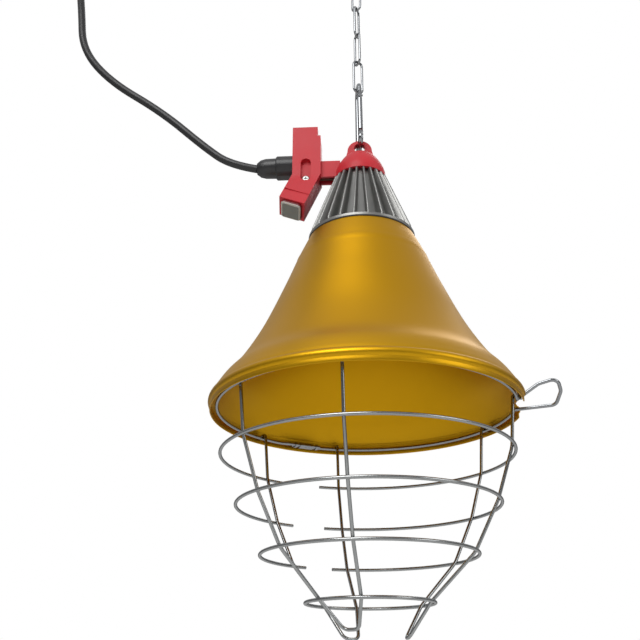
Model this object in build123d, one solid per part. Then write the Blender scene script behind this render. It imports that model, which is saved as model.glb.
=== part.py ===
from build123d import *

# Heat lamp fixture for poultry and small livestock.
#
# A spun reflector with a wire guard is bolted under a finned heat sink.  A moulded cap joins the
# heat sink to a switch box on one side and to a snap hook and a link chain above.
#
# Lengths are millimetres.  The fixture is drawn with the lower edge of its reflector at height 0,
# +Z up, the switch box on the -X side and the screw of the box facing -Y.  Each piece is lowered
# by SUPPORT_Z when it is written, so the origin is where the top hook rests on its support.

import os
from math import asin, cos, degrees, pi, radians, sin, tan

# ---------------------------------------------------------------- driving dimensions
SHEET = 0.9                 # reflector sheet
BAND_RADIUS = 104.2         # reflector, outside of the band at its mouth
BEAD_RADIUS = 105.4         # reflector, outside of the rolled bead
NECK_RADIUS = 38.9          # reflector, outside at its top
NECK_Z = 132.0
FLARE = ((101.4, 12.6), (96.4, 19.9), (86.0, 32.2), (71.5, 57.0), (57.0, 89.5), (46.5, 115.5))
STEP_RADIUS, STEP_Z = 47.0, 113.0       # shallow bead where the neck was sized
NECK_SCREW_CIRCLE = 33.0

GASKET = 1.0
SINK_TOP_Z = 186.5
SINK_BASE_RADIUS, SINK_TOP_RADIUS = 39.0, 20.4
CAVITY_RADIUS = 22.0        # room for the lampholder
WEB_Z = 158.0               # underside of the web that carries the lampholder
WIRE_BORE = 4.5
FIN_COUNT, FIN_THICKNESS = 24, 1.5
CAP_SCREW_Y = 11.0

SHELL_BORE = 13.2           # E27 screw shell, inside
HOLDER_BOTTOM_Z = 107.0
HOLDER_RADIUS = 20.8
HOLDER_NECK_RADIUS = 13.5
STRAP = 3.0
STRAP_SCREW_X = 17.3

CAP_RADIUS = 19.2
DOME_TOP_Z = 208.8
EYE_Z, EYE_RADIUS = 214.05, 4.25        # hole through the lug of the cap
LUG_RADIUS, LUG_THICKNESS = 9.4, 5.0
ARM_BOTTOM_Z, ARM_TOP_Z = 186.7, 200.8
ARM_WIDTH = 12.0
CHANNEL_WIDTH, CHANNEL_TOP_Z = 7.4, 198.3       # wiring channel inside the arm

WALL = 2.0                  # moulded walls
BOX_X = -40.45
BOX_WIDTH, BOX_DEPTH = 21.5, 20.0
BOX_TOP_Z = 229.8
BOX_STEP, BOX_STEP_Z = 2.2, 221.8       # the top of the box is narrower on the lug side
PARTING_Y = 1.0             # plane where the cover meets the rear shell
KNEE_Z = 187.3              # height where the snout starts
SNOUT_LENGTH = 30.0         # down the middle of its front face
SNOUT_SIDE_LEAN, SNOUT_FRONT_LEAN = 20.0, 14.2          # degrees
SNOUT_WIDTH, SNOUT_DEPTH = 19.8, 19.0
RECESS_X, RECESS_WIDTH, RECESS_FLOOR_Y = -41.0, 7.7, -6.5
RECESS_BOTTOM_Z, RECESS_TOP_Z = 180.5, 201.0
COVER_SCREW_Z = 184.0

SWITCH_WIDTH, SWITCH_LENGTH, SWITCH_DEEP = 14.0, 14.4, 12.0
ROCKER_AXIS_IN = 2.5        # rocker axis, inwards from the end of the snout
ROCKER_WIDTH, ROCKER_LENGTH = 10.4, 11.2

GLAND_Z = 199.4
CORD = 6.2
COIL_CENTRE = (-246.0, -37.7, 456.0)
COIL_RADIUS, BUNDLE_RADIUS, COIL_TURNS = 38.0, 10.6, 7.5
PLUG_TOP_Z = 428.0

HOOK_WIRE = 4.0
HOOK_TURN = 96.0            # plane of the snap hook, degrees from +X
HOOK_BOTTOM_Z = 216.0       # centre of the wire that the lug hangs on
HOOK_HALF_WIDTH = 10.0
HOOK_TOP_HALF_WIDTH = 7.5
GATE_PIN_Z = 259.5
GATE_END_Z = 221.6
GATE_RADIUS = 2.1

CHAIN_WIRE = 2.0
CHAIN_PITCH = 28.7
CHAIN_BOTTOM_Z = 270.3
LINK_HALF_WIDTH = 3.8       # to the centre of the wire
LINK_TURNS = (150.0, 64.0, 120.0, 30.0)         # planes of the links from the top down
TOP_HOOK_TURN = 60.0
TOP_BEND, LOW_BEND = 10.0, 6.0          # centre line radii of the top hook
TOP_BEND_RISE = 34.0        # between the centres of its two bends

RETAINER_WIRE = 2.4
RETAINER_RADIUS, RETAINER_Z = 99.5, 3.2
NOTCH_FROM, NOTCH_TO, NOTCH_TOP_Z = -14.0, 6.0, 10.5    # notch in the band for the handle
HANDLE_TURN = -5.5
HANDLE_HALF_WIDTH = 8.5
JOINT_TURN = 118.5          # middle of the crimped joint of the retaining ring
GUARD_WIRE = 2.2
GUARD_RINGS = ((95.8, -28.0), (84.5, -60.6), (68.3, -91.3), (39.8, -119.3))
RING_GAP = (112.2, 129.7)   # the three larger rings are open between these azimuths
GUARD_RIBS = ((9.0, 22.0, -139.0), (122.0, 18.5, -139.0), (240.5, 22.0, -135.5))
RIB_TIP_RADIUS, RIB_TIP_HALF = 22.5, 5.0

RUN = 0.3                   # gap between pieces that turn on each other
PIN_RUN = 0.05              # gap round a hinge pin
TOUCH = 0.05                # how deep welded wires sink into each other

# ---------------------------------------------------------------- derived heights
SINK_BASE_Z = NECK_Z + GASKET
LINK_CLEARANCE = CHAIN_WIRE + RUN
HOOK_CLEARANCE = (CHAIN_WIRE + HOOK_WIRE) / 2 + RUN
CHAIN_TOP_Z = CHAIN_BOTTOM_Z + len(LINK_TURNS) * CHAIN_PITCH
HOOK_TOP_Z = CHAIN_BOTTOM_Z - LINK_CLEARANCE / 2 + HOOK_CLEARANCE
LOW_BEND_Z = CHAIN_TOP_Z + LINK_CLEARANCE / 2 - HOOK_CLEARANCE + LOW_BEND
TOP_BEND_Z = LOW_BEND_Z + TOP_BEND_RISE
SUPPORT_Z = TOP_BEND_Z + TOP_BEND - HOOK_WIRE / 2

os.makedirs("parts", exist_ok=True)


# ---------------------------------------------------------------- helpers
def keep(name, shape):
    """Write one piece, in the fixture's own frame."""
    placed = Pos(0, 0, -SUPPORT_Z) * Compound(children=list(shape.solids()))
    placed.label = name
    export_step(placed, f"parts/{name}.step")


def polar(radius, azimuth, z):
    return Vector(radius * cos(radians(azimuth)), radius * sin(radians(azimuth)), z)


def turned(*outline):
    """A solid of revolution about Z from the corners of its half section."""
    return revolve(Plane.XZ * make_face(Polyline(*outline, close=True)), Axis.Z)


def wire(path, diameter):
    """Round wire along a path."""
    return sweep(Plane(origin=path @ 0, z_dir=path % 0) * Circle(diameter / 2), path=path)


def ring(radius, z, diameter, start=0.0, angle=360.0):
    """Round wire bent about Z, from one azimuth through an angle."""
    section = Plane.XZ * Pos(radius, z) * Circle(diameter / 2)
    return Rot(0, 0, start) * revolve(section, Axis.Z, angle)


def drill(x, y, z, radius, depth):
    """A vertical cylinder that starts at a point and goes up."""
    return Pos(x, y, z + depth / 2) * Cylinder(radius, depth)


def screw(head_radius, head_height, shank_radius, shank_length):
    """A cross-head screw: head on +Z, underside of the head at the origin."""
    head = Pos(0, 0, head_height / 2) * Cylinder(head_radius, head_height)
    head = fillet(head.edges().group_by(Axis.Z)[-1], head_height * 0.4)
    body = head + Pos(0, 0, -shank_length / 2) * Cylinder(shank_radius, shank_length)
    for turn in (0, 90):
        slot = Box(head_radius * 1.1, head_radius * 0.25, head_height)
        body -= Pos(0, 0, head_height * 0.9) * Rot(0, 0, turn) * slot
    return body


def corner_radii(points):
    """Bend radii of a cord: as large as the runs beside each corner allow."""
    points = [Vector(*p) for p in points]
    radii = []
    for before, here, after in zip(points, points[1:], points[2:]):
        run_in, run_out = here - before, after - here
        shorter = min(run_in.length, run_out.length)
        radii.append(0.45 * shorter / tan(radians(run_in.get_angle(run_out)) / 2))
    return radii


# ---------------------------------------------------------------- reflector
def reflector_space(inset, low_z, high_z):
    """The solid inside the reflector's outline, drawn in by an inset."""
    band = BAND_RADIUS - inset
    mouth = Polyline((0, low_z), (band, low_z), (band, 3.2))
    bead = ThreePointArc((band, 3.2), (BEAD_RADIUS - inset, 6.0), (band - 0.6, 8.8))
    cone = Spline((band - 0.6, 8.8), *[(r - inset, z) for r, z in FLARE], (NECK_RADIUS - inset, high_z))
    top = Polyline((NECK_RADIUS - inset, high_z), (0, high_z), (0, low_z))
    return revolve(Plane.XZ * make_face(mouth + bead + cone + top), Axis.Z)


reflector = reflector_space(0, 0, NECK_Z) - reflector_space(SHEET, -1, NECK_Z - SHEET)
reflector += Pos(0, 0, STEP_Z) * Torus(STEP_RADIUS, 0.7)
reflector -= drill(0, 0, NECK_Z - 5, 27, 10)
notch_width = 2 * BAND_RADIUS * sin(radians((NOTCH_TO - NOTCH_FROM) / 2))
notch = Pos(BAND_RADIUS, 0, NOTCH_TOP_Z / 2 - 1) * Box(12, notch_width, NOTCH_TOP_Z + 2)
reflector -= Rot(0, 0, (NOTCH_FROM + NOTCH_TO) / 2) * notch

neck_gasket = turned(
    (27.5, NECK_Z), (NECK_RADIUS + 0.3, NECK_Z),
    (NECK_RADIUS + 0.3, SINK_BASE_Z), (27.5, SINK_BASE_Z))

# ---------------------------------------------------------------- heat sink
core = turned(
    (CAVITY_RADIUS + 2, SINK_BASE_Z), (SINK_BASE_RADIUS, SINK_BASE_Z),
    (SINK_BASE_RADIUS, SINK_BASE_Z + 2.6), (30.5, SINK_BASE_Z + 4.2), (15.5, SINK_TOP_Z),
    (WIRE_BORE, SINK_TOP_Z), (WIRE_BORE, WEB_Z), (CAVITY_RADIUS, WEB_Z))
fin_outline = Polyline(
    (28.5, SINK_BASE_Z + 1.5), (SINK_BASE_RADIUS - 0.3, SINK_BASE_Z + 1.5),
    (SINK_BASE_RADIUS - 0.3, SINK_BASE_Z + 4), (SINK_TOP_RADIUS, SINK_TOP_Z - 1),
    (SINK_TOP_RADIUS - 1, SINK_TOP_Z), (15.0, SINK_TOP_Z), close=True)
fin = extrude(Plane.XZ * make_face(fin_outline), FIN_THICKNESS / 2, both=True)
heat_sink = core + [Rot(0, 0, (k + 0.5) * 360 / FIN_COUNT) * fin for k in range(FIN_COUNT)]

# three screws hold the reflector and its gasket to the heat sink
NECK_SCREW_TURNS = (30, 150, 270)
neck_screw = screw(3.1, 2.0, 1.45, 5.5)
for number, turn in enumerate(NECK_SCREW_TURNS, 1):
    seat = polar(NECK_SCREW_CIRCLE, turn, NECK_Z - SHEET)
    reflector -= drill(seat.X, seat.Y, seat.Z - 2, 1.7, 6)
    neck_gasket -= drill(seat.X, seat.Y, seat.Z - 2, 1.7, 6)
    heat_sink -= drill(seat.X, seat.Y, SINK_BASE_Z - 1, 1.5, 8)
    keep(f"neck_screw_{number}", Pos(seat) * Rot(180, 0, 0) * neck_screw)

# two screws from inside the heat sink hold the cap, and two smaller ones the lampholder
CAP_SCREW_SEAT_Z = 178.0
cap_screw = screw(3.6, 2.4, 1.9, 14.5)
strap_screw = screw(2.7, 1.7, 1.2, 7.0)
for number, side in enumerate((-1, 1), 1):
    heat_sink -= drill(0, side * CAP_SCREW_Y, WEB_Z - 1, 4.2, CAP_SCREW_SEAT_Z - WEB_Z + 1)
    heat_sink -= drill(0, side * CAP_SCREW_Y, WEB_Z, 2.1, SINK_TOP_Z - WEB_Z + 1)
    heat_sink -= drill(side * STRAP_SCREW_X, 0, WEB_Z - 1, 1.25, 6)
    cap_seat = Pos(0, side * CAP_SCREW_Y, CAP_SCREW_SEAT_Z)
    keep(f"cap_screw_{number}", cap_seat * Rot(180, 0, 0) * cap_screw)
    strap_seat = Pos(side * STRAP_SCREW_X, 0, WEB_Z - STRAP)
    keep(f"strap_screw_{number}", strap_seat * Rot(180, 0, 0) * strap_screw)
keep("reflector", reflector)
keep("neck_gasket", neck_gasket)
keep("heat_sink", heat_sink)

# ---------------------------------------------------------------- lampholder
HOLDER_TOP_Z = WEB_Z - STRAP
ROOF_Z = 141.5              # inside top of the ceramic
LEAD, LEAD_Y = 2.0, 2.4
lampholder_body = turned(
    (SHELL_BORE + 1.9, HOLDER_BOTTOM_Z), (HOLDER_RADIUS - 0.8, HOLDER_BOTTOM_Z),
    (HOLDER_RADIUS, HOLDER_BOTTOM_Z + 1), (HOLDER_RADIUS, 128), (HOLDER_RADIUS - 1.2, 129),
    (HOLDER_RADIUS - 1.2, 141), (HOLDER_NECK_RADIUS, 144), (HOLDER_NECK_RADIUS, HOLDER_TOP_Z),
    (WIRE_BORE, HOLDER_TOP_Z), (WIRE_BORE, 146.5), (0, 146.5), (0, ROOF_Z), (SHELL_BORE + 1.9, ROOF_Z))
for side in (-1, 1):
    lampholder_body -= drill(0, side * LEAD_Y, ROOF_Z - 1, LEAD / 2 + 0.1, 8)
keep("lampholder_body", lampholder_body)

# the thread ends at 135, in a groove that leaves room for the sprung contact
lampholder_shell = turned(
    (SHELL_BORE, 109), (14.9, 109), (14.9, 139.6), (9, 139.6),
    (9, 139), (14.3, 139), (14.3, 135), (SHELL_BORE, 135))
lampholder_shell += Pos(0, -5.8, 139.3) * Box(4, 8.4, 0.6)
keep("lampholder_shell", lampholder_shell)

centre_contact = Pos(0, 3.4, 140.6) * Box(5, 8, 0.8)
centre_contact += drill(0, 0, 135.4, 2.2, 2.8) + drill(0, 0, 138.0, 1.2, 2.4)
keep("centre_contact", centre_contact)

strap = Pos(0, 0, WEB_Z - STRAP / 2) * (Box(42, 11, STRAP) - Cylinder(WIRE_BORE + 0.5, 5))
strap &= Pos(0, 0, WEB_Z - STRAP / 2) * Cylinder(CAVITY_RADIUS - 1, STRAP)
for side in (-1, 1):
    strap -= drill(side * STRAP_SCREW_X, 0, WEB_Z - STRAP - 1, 1.4, STRAP + 2)
keep("holder_strap", strap)

# ---------------------------------------------------------------- switch box outline
side_lean, front_lean = radians(SNOUT_SIDE_LEAN), radians(SNOUT_FRONT_LEAN)
SNOUT_OUT = Vector(
    -cos(front_lean) * sin(side_lean), -sin(front_lean), -cos(front_lean) * cos(side_lean))
SNOUT_ACROSS = Vector(cos(side_lean), 0, -sin(side_lean))
SNOUT_FRONT = SNOUT_OUT.cross(SNOUT_ACROSS)
snout_end = Vector(BOX_X, -BOX_DEPTH / 2, KNEE_Z) + SNOUT_OUT * SNOUT_LENGTH - SNOUT_FRONT * (SNOUT_DEPTH / 2)
END_PLANE = Plane(origin=snout_end, x_dir=SNOUT_ACROSS, z_dir=SNOUT_OUT)


def box_space(inset):
    """The knee-shaped box: an upright part, and a snout lofted from its lower end."""
    left, right = BOX_X - BOX_WIDTH / 2 + inset, BOX_X + BOX_WIDTH / 2 - inset
    top, step_z = BOX_TOP_Z - inset, BOX_STEP_Z - inset
    outline = Polyline(
        (left, KNEE_Z), (left, top), (right - BOX_STEP, top), (right - BOX_STEP, step_z),
        (right, step_z), (right, KNEE_Z), close=True)
    depth = BOX_DEPTH - 2 * inset
    upright = extrude(Plane.XZ * make_face(outline), depth / 2, both=True)
    knee = Plane(origin=(BOX_X, 0, KNEE_Z)) * Rectangle(BOX_WIDTH - 2 * inset, depth)
    end = END_PLANE * Pos(0, 0, -inset) * Rectangle(SNOUT_WIDTH - 2 * inset, SNOUT_DEPTH - 2 * inset)
    return upright + loft([knee, end], ruled=True)


def facing_front(x, y, z):
    """A plane whose +Z looks out of the front, towards -Y."""
    return Plane(origin=(x, y, z), x_dir=(1, 0, 0), z_dir=(0, -1, 0))


housing = box_space(0)
box_shell = housing - box_space(WALL)
box_shell -= END_PLANE * Box(SWITCH_WIDTH, SWITCH_LENGTH, 3 * WALL)
in_front = Pos(BOX_X, PARTING_Y - 50, 195) * Box(100, 100, 100)
gland_hole = Pos(BOX_X - BOX_WIDTH / 2, 0, GLAND_Z) * Rot(0, 90, 0) * Cylinder(6.0, 3 * WALL)
channel_x = (BOX_X + BOX_WIDTH / 2 - 3, -13.0)
channel_z = (ARM_BOTTOM_Z - 3, CHANNEL_TOP_Z)
channel = Pos(sum(channel_x) / 2, 0, sum(channel_z) / 2) * Box(
    channel_x[1] - channel_x[0], CHANNEL_WIDTH, channel_z[1] - channel_z[0])

# the recess for the cover screw, and the pocket behind it
recess_length = RECESS_TOP_Z - RECESS_BOTTOM_Z
recess_plane = facing_front(RECESS_X, RECESS_FLOOR_Y, (RECESS_TOP_Z + RECESS_BOTTOM_Z) / 2)
recess = extrude(recess_plane * Rot(0, 0, 90) * SlotOverall(recess_length, RECESS_WIDTH), 12)
pocket_plane = recess_plane.offset(-1.5)
pocket = extrude(pocket_plane * Rot(0, 0, 90) * SlotOverall(recess_length + 2.4, RECESS_WIDTH + 2.4), 12)
screw_line = facing_front(RECESS_X, RECESS_FLOOR_Y, COVER_SCREW_Z)

box_cover = (box_shell & in_front) + (pocket & housing)
ledge = END_PLANE * Pos(0, SNOUT_DEPTH / 2, -10) * Box(SNOUT_WIDTH - 0.4, 1.2, 1.0)
box_cover += ledge
box_cover = box_cover - recess - channel - gland_hole - screw_line * Cylinder(1.6, 8)
keep("box_cover", box_cover)
keep("cover_screw", screw_line * screw(2.75, 2.0, 1.4, 11.0))

# ---------------------------------------------------------------- cap, lug, arm and rear shell
dome_line = Spline(
    (CAP_RADIUS, 188.5), (17.7, 195.5), (11.5, 205.3), (0, DOME_TOP_Z),
    tangents=((0, 1), (-1, 0)))
dome_sides = Polyline(
    (0, DOME_TOP_Z), (0, SINK_TOP_Z), (CAP_RADIUS, SINK_TOP_Z), (CAP_RADIUS, 188.5))
dome = revolve(Plane.XZ * make_face(dome_line + dome_sides), Axis.Z)
dome_hollow = turned((0, SINK_TOP_Z - 1), (16.6, SINK_TOP_Z - 1), (15.6, 193), (11.5, 200.5), (0, 204.5))
lug_centre_z = EYE_Z - 2.75
lug_foot = Polyline(
    (-11.8, 202), (11.8, 202), (LUG_RADIUS - 0.1, lug_centre_z), (0.1 - LUG_RADIUS, lug_centre_z),
    close=True)
lug_outline = Pos(0, lug_centre_z) * Circle(LUG_RADIUS) + make_face(lug_foot)
eye = Pos(0, EYE_Z) * Circle(EYE_RADIUS) - Pos(0, EYE_Z - 5.2) * Rectangle(12, 4)
lug = extrude(Plane.XZ * (lug_outline - eye), LUG_THICKNESS / 2, both=True)
arm_x = (BOX_X + BOX_WIDTH / 2 - 1, -15.0)
arm = Pos(sum(arm_x) / 2, 0, (ARM_BOTTOM_Z + ARM_TOP_Z) / 2) * Box(
    arm_x[1] - arm_x[0], ARM_WIDTH, ARM_TOP_Z - ARM_BOTTOM_Z)
arm -= housing & in_front
cover_boss = screw_line * Pos(0, 0, -9.5) * Cylinder(3.2, 16)

suspension_cap = (dome + lug + arm) - dome_hollow - channel
for side in (-1, 1):
    suspension_cap += dome & drill(0, side * CAP_SCREW_Y, SINK_TOP_Z, 3.6, 12)
suspension_cap += (box_shell - in_front - channel) + (cover_boss & housing)
suspension_cap -= gland_hole + screw_line * Pos(0, 0, -5) * Cylinder(1.45, 13)
for side in (-1, 1):
    suspension_cap -= drill(0, side * CAP_SCREW_Y, SINK_TOP_Z - 1, 1.95, 8.5)
keep("suspension_cap", suspension_cap)

# ---------------------------------------------------------------- switch in the end of the snout
cavity = Box(ROCKER_WIDTH + 1.0, ROCKER_LENGTH + 2.0, 14)
switch_body = Pos(0, 0, -SWITCH_DEEP / 2) * Box(
    SWITCH_WIDTH - 0.1, SWITCH_LENGTH - 0.1, SWITCH_DEEP)
switch_body -= cavity
trunnion_line = Pos(0, 0, -ROCKER_AXIS_IN) * Rot(0, 90, 0)
switch_body -= trunnion_line * Cylinder(1.2 + PIN_RUN, SWITCH_WIDTH + 2)
keep("switch_body", END_PLANE * switch_body)

half = ROCKER_LENGTH / 2
rocker_outline = Polyline(
    (-half, 0.9), (0, -0.2), (half, 0.9), (half, -2.0),
    (1.8, -5.4), (-1.8, -5.4), (-half, -2.0), close=True)
rocker = extrude(Plane.YZ * make_face(rocker_outline), ROCKER_WIDTH / 2, both=True)
rocker += trunnion_line * Cylinder(1.2, SWITCH_WIDTH - 0.8)
keep("rocker", END_PLANE * rocker)

boot = Pos(0, 0, 1.5) * Box(SWITCH_WIDTH + 1.6, SWITCH_LENGTH + 1.6, 3.0)
boot = fillet(boot.edges().filter_by(Axis.Z), 2.5)
boot = fillet(boot.edges().group_by(Axis.Z)[-1], 1.2)
boot -= Pos(0, 0, 1.1) * Box(SWITCH_WIDTH - 0.6, SWITCH_LENGTH - 0.6, 2.6)
keep("switch_boot", END_PLANE * boot)

# ---------------------------------------------------------------- gland
box_left = BOX_X - BOX_WIDTH / 2
GLAND_END_X = -79.1
along_cord = Pos(box_left, 0, GLAND_Z) * Rot(0, -90, 0)
gland_length = box_left - GLAND_END_X
cord_hole = CORD / 2 + PIN_RUN
cord_gland = turned(
    (cord_hole, -WALL - 3.1), (5.9, -WALL - 3.1), (5.9, 0), (9.2, 0), (9.2, 12.2), (8.4, 13.1),
    (7.8, 13.1), (7.6, 21.0), (6.6, 25.0), (4.4, gland_length), (cord_hole, gland_length))
for k in range(6):
    flat = Rot(0, 0, 60 * k) * Pos(13.35, 0, 6) * Box(9, 20, 9)
    cord_gland -= flat
keep("cord_gland", along_cord * cord_gland)
gland_nut = Pos(0, 0, -WALL - 1.5) * (Cylinder(7.6, 3.0) - Cylinder(5.95, 4))
keep("gland_nut", along_cord * gland_nut)
entry_length = gland_length + WALL + 4.2
entry = Pos(0, 0, gland_length - entry_length / 2) * Cylinder(CORD / 2, entry_length)
keep("cord_entry", along_cord * entry)

# ---------------------------------------------------------------- supply cord, coil, tail and plug
CORD_ROUTE = (
    (GLAND_END_X, 0, GLAND_Z), (-100, 0, 204), (-121, 0, 221), (-158, 0, 257), (-204, 0, 290),
    (-231, 0, 325), (-236.5, 0, 366), (-243, 2, 400), (-245.6, 7.2, 427))
TAIL_ROUTE = (
    (-246, -54, 498.5), (-246, -78, 488.5), (-246.5, -96, 468),
    (-246.5, -101.5, 446), (-246, -102, PLUG_TOP_Z))
for name, route in (("supply_cord", CORD_ROUTE), ("cord_tail", TAIL_ROUTE)):
    radii = corner_radii(route)
    path = FilletPolyline(*route, radius=radii)
    tube = wire(path, CORD)
    print(name, "radii", [round(r) for r in radii], "length", round(path.length))
    print(name, "volume over section times length", round(tube.volume / (path.length * pi * CORD**2 / 4), 4))
    keep(name, tube)

coil_place = Pos(*COIL_CENTRE) * Rot(0, 90, 0)
keep("cord_coil", coil_place * Torus(COIL_RADIUS, BUNDLE_RADIUS))
print("cord in the coil", round(COIL_TURNS * 2 * pi * COIL_RADIUS))

tie_place = Pos(COIL_CENTRE[0], COIL_CENTRE[1], COIL_CENTRE[2] + COIL_RADIUS) * Rot(90, 0, 0)
coil_tie = Cylinder(12.8, 8) + Pos(0, 15, 0) * Cylinder(6, 3)
coil_tie -= Cylinder(11.4, 10) + Pos(0, 16.5, 0) * Cylinder(2.6, 4)
keep("coil_tie", tie_place * coil_tie)

plug_place = Pos(TAIL_ROUTE[-1][0], TAIL_ROUTE[-1][1], PLUG_TOP_Z)
plug_body = turned(
    (0, 0), (4.6, 0), (5.8, -14), (9.0, -18), (17.0, -22), (18.5, -25), (18.5, -38), (17.5, -41), (0, -41))
for side in (-1, 1):
    plug_body -= Pos(0, side * 21.0, -30) * Box(40, 8, 30)
keep("plug_body", plug_place * plug_body)
for number, side in enumerate((-1, 1), 1):
    pin = Pos(side * 9.5, 0, -41 - 9.5) * Cylinder(2.4, 19)
    pin = chamfer(pin.edges().group_by(Axis.Z)[0], 0.8)
    keep(f"plug_pin_{number}", plug_place * pin)

# ---------------------------------------------------------------- wiring inside the box
BLOCK_BOTTOM_Z = 207.0
POLES = (-43.4, -39.4, -35.4)
terminal_block = Pos(sum(POLES) / 3, 1.5, BLOCK_BOTTOM_Z + 5) * Box(12.6, 11, 10)
for pole_x in POLES:
    terminal_block -= Pos(pole_x, -4, BLOCK_BOTTOM_Z + 5) * Rot(90, 0, 0) * Cylinder(1.3, 4)
keep("terminal_block", terminal_block)
keep("diode", Pos(sum(POLES) / 3, 2, 222.0) * Rot(0, 90, 0) * Cylinder(2.2, 8))

LEAD_RISE_Y = 4.6
lead_routes = {
    "lead_live": ((0, LEAD_Y, 141.0), (0, LEAD_Y, 189.7), (-37, LEAD_Y, 189.7),
                  (POLES[0], LEAD_RISE_Y, 189.7), (POLES[0], LEAD_RISE_Y, BLOCK_BOTTOM_Z)),
    "lead_neutral": ((0, -LEAD_Y, 139.6), (0, -LEAD_Y, 192.4), (-30, -LEAD_Y, 192.4),
                     (POLES[2], LEAD_RISE_Y, 192.4), (POLES[2], LEAD_RISE_Y, BLOCK_BOTTOM_Z)),
    "lead_earth": ((6.5, 0, SINK_TOP_Z), (6.5, 0, 195.6), (-36.5, 0, 195.6), (POLES[1], LEAD_RISE_Y, 195.6),
                   (POLES[1], LEAD_RISE_Y, BLOCK_BOTTOM_Z)),
}
for name, route in lead_routes.items():
    keep(name, wire(FilletPolyline(*route, radius=1.9), LEAD))
core_y = (-1.9, 0.0, 1.9)
for name, pole_x, y in zip(("core_live", "core_earth", "core_neutral"), POLES, core_y):
    start_x = box_left + WALL + 4.2
    route = ((start_x, y, GLAND_Z), (pole_x, y, GLAND_Z), (pole_x, -2.5, BLOCK_BOTTOM_Z - 3),
             (pole_x, -2.5, BLOCK_BOTTOM_Z))
    keep(name, wire(FilletPolyline(*route, radius=1.2), 1.6))

# ---------------------------------------------------------------- chain and top hook
for number, turn in enumerate(LINK_TURNS, 1):
    upper_z = CHAIN_TOP_Z - (number - 1) * CHAIN_PITCH + LINK_CLEARANCE / 2
    lower_z = upper_z - CHAIN_PITCH - LINK_CLEARANCE
    straight = (lower_z + LINK_HALF_WIDTH, upper_z - LINK_HALF_WIDTH)
    right = Line((LINK_HALF_WIDTH, straight[0]), (LINK_HALF_WIDTH, straight[1]))
    over = ThreePointArc(right @ 1, (0, upper_z), (-LINK_HALF_WIDTH, straight[1]))
    left = Line(over @ 1, (-LINK_HALF_WIDTH, straight[0]))
    under = ThreePointArc(left @ 1, (0, lower_z), right @ 0)
    path = Plane.XZ * Wire((right + over + left + under).edges())
    keep(f"chain_link_{number}", Rot(0, 0, turn) * wire(path, CHAIN_WIRE))

tip = Line((-TOP_BEND - 1.5, TOP_BEND_Z - 9), (-TOP_BEND, TOP_BEND_Z))
over = ThreePointArc((-TOP_BEND, TOP_BEND_Z), (0, TOP_BEND_Z + TOP_BEND), (TOP_BEND, TOP_BEND_Z))
shank = FilletPolyline(
    (TOP_BEND, TOP_BEND_Z), (TOP_BEND, TOP_BEND_Z - 6),
    (-LOW_BEND, LOW_BEND_Z + 7), (-LOW_BEND, LOW_BEND_Z), radius=9)
under = ThreePointArc((-LOW_BEND, LOW_BEND_Z), (0, LOW_BEND_Z - LOW_BEND), (LOW_BEND, LOW_BEND_Z))
closing = Line((LOW_BEND, LOW_BEND_Z), (LOW_BEND - 0.4, LOW_BEND_Z + 4))
hook_edges = tip.edges() + over.edges() + shank.edges() + under.edges() + closing.edges()
top_hook_path = Plane.XZ * Wire(hook_edges)
keep("top_hook", Rot(0, 0, TOP_HOOK_TURN) * wire(top_hook_path, HOOK_WIRE))

# ---------------------------------------------------------------- snap hook with its gate
hook_place = Rot(0, 0, HOOK_TURN)
PIN_X, NOSE_X = -8.8, -9.9
TONGUE = 1.8
hook_path = FilletPolyline(
    (PIN_X, GATE_PIN_Z + 3.2), (-HOOK_TOP_HALF_WIDTH, HOOK_TOP_Z), (HOOK_TOP_HALF_WIDTH, HOOK_TOP_Z),
    (HOOK_HALF_WIDTH, HOOK_BOTTOM_Z), (-HOOK_HALF_WIDTH, HOOK_BOTTOM_Z), (NOSE_X, GATE_END_Z - 1.0),
    radius=[6.2, 6.4, 7.2, 4.2])
snap_hook = wire(Plane.XZ * hook_path, HOOK_WIRE)
snap_hook += Pos(PIN_X, 0, GATE_PIN_Z + 1.4) * Box(3.4, TONGUE, 6.2)
snap_hook += Pos(NOSE_X, 0, GATE_END_Z + 0.9) * Box(2.4, TONGUE, 5.2)
pin_line = Pos(PIN_X, 0, GATE_PIN_Z) * Rot(90, 0, 0)
snap_hook -= pin_line * Cylinder(0.82, 6)
keep("snap_hook", hook_place * snap_hook)
keep("gate_pin", hook_place * pin_line * Cylinder(0.8, 5.0))

gate = wire(Line((NOSE_X, 0, GATE_END_Z), (PIN_X, 0, GATE_PIN_Z + 2.0)), 2 * GATE_RADIUS)
gate -= Pos(PIN_X, 0, GATE_PIN_Z + 1.5) * Box(9, TONGUE + 2 * RUN, 10.4)
gate -= Pos(NOSE_X, 0, GATE_END_Z + 1.5) * Box(9, TONGUE + 2 * RUN, 6)
gate -= pin_line * Cylinder(0.8 + PIN_RUN, 6)
keep("snap_gate", hook_place * gate)

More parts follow.
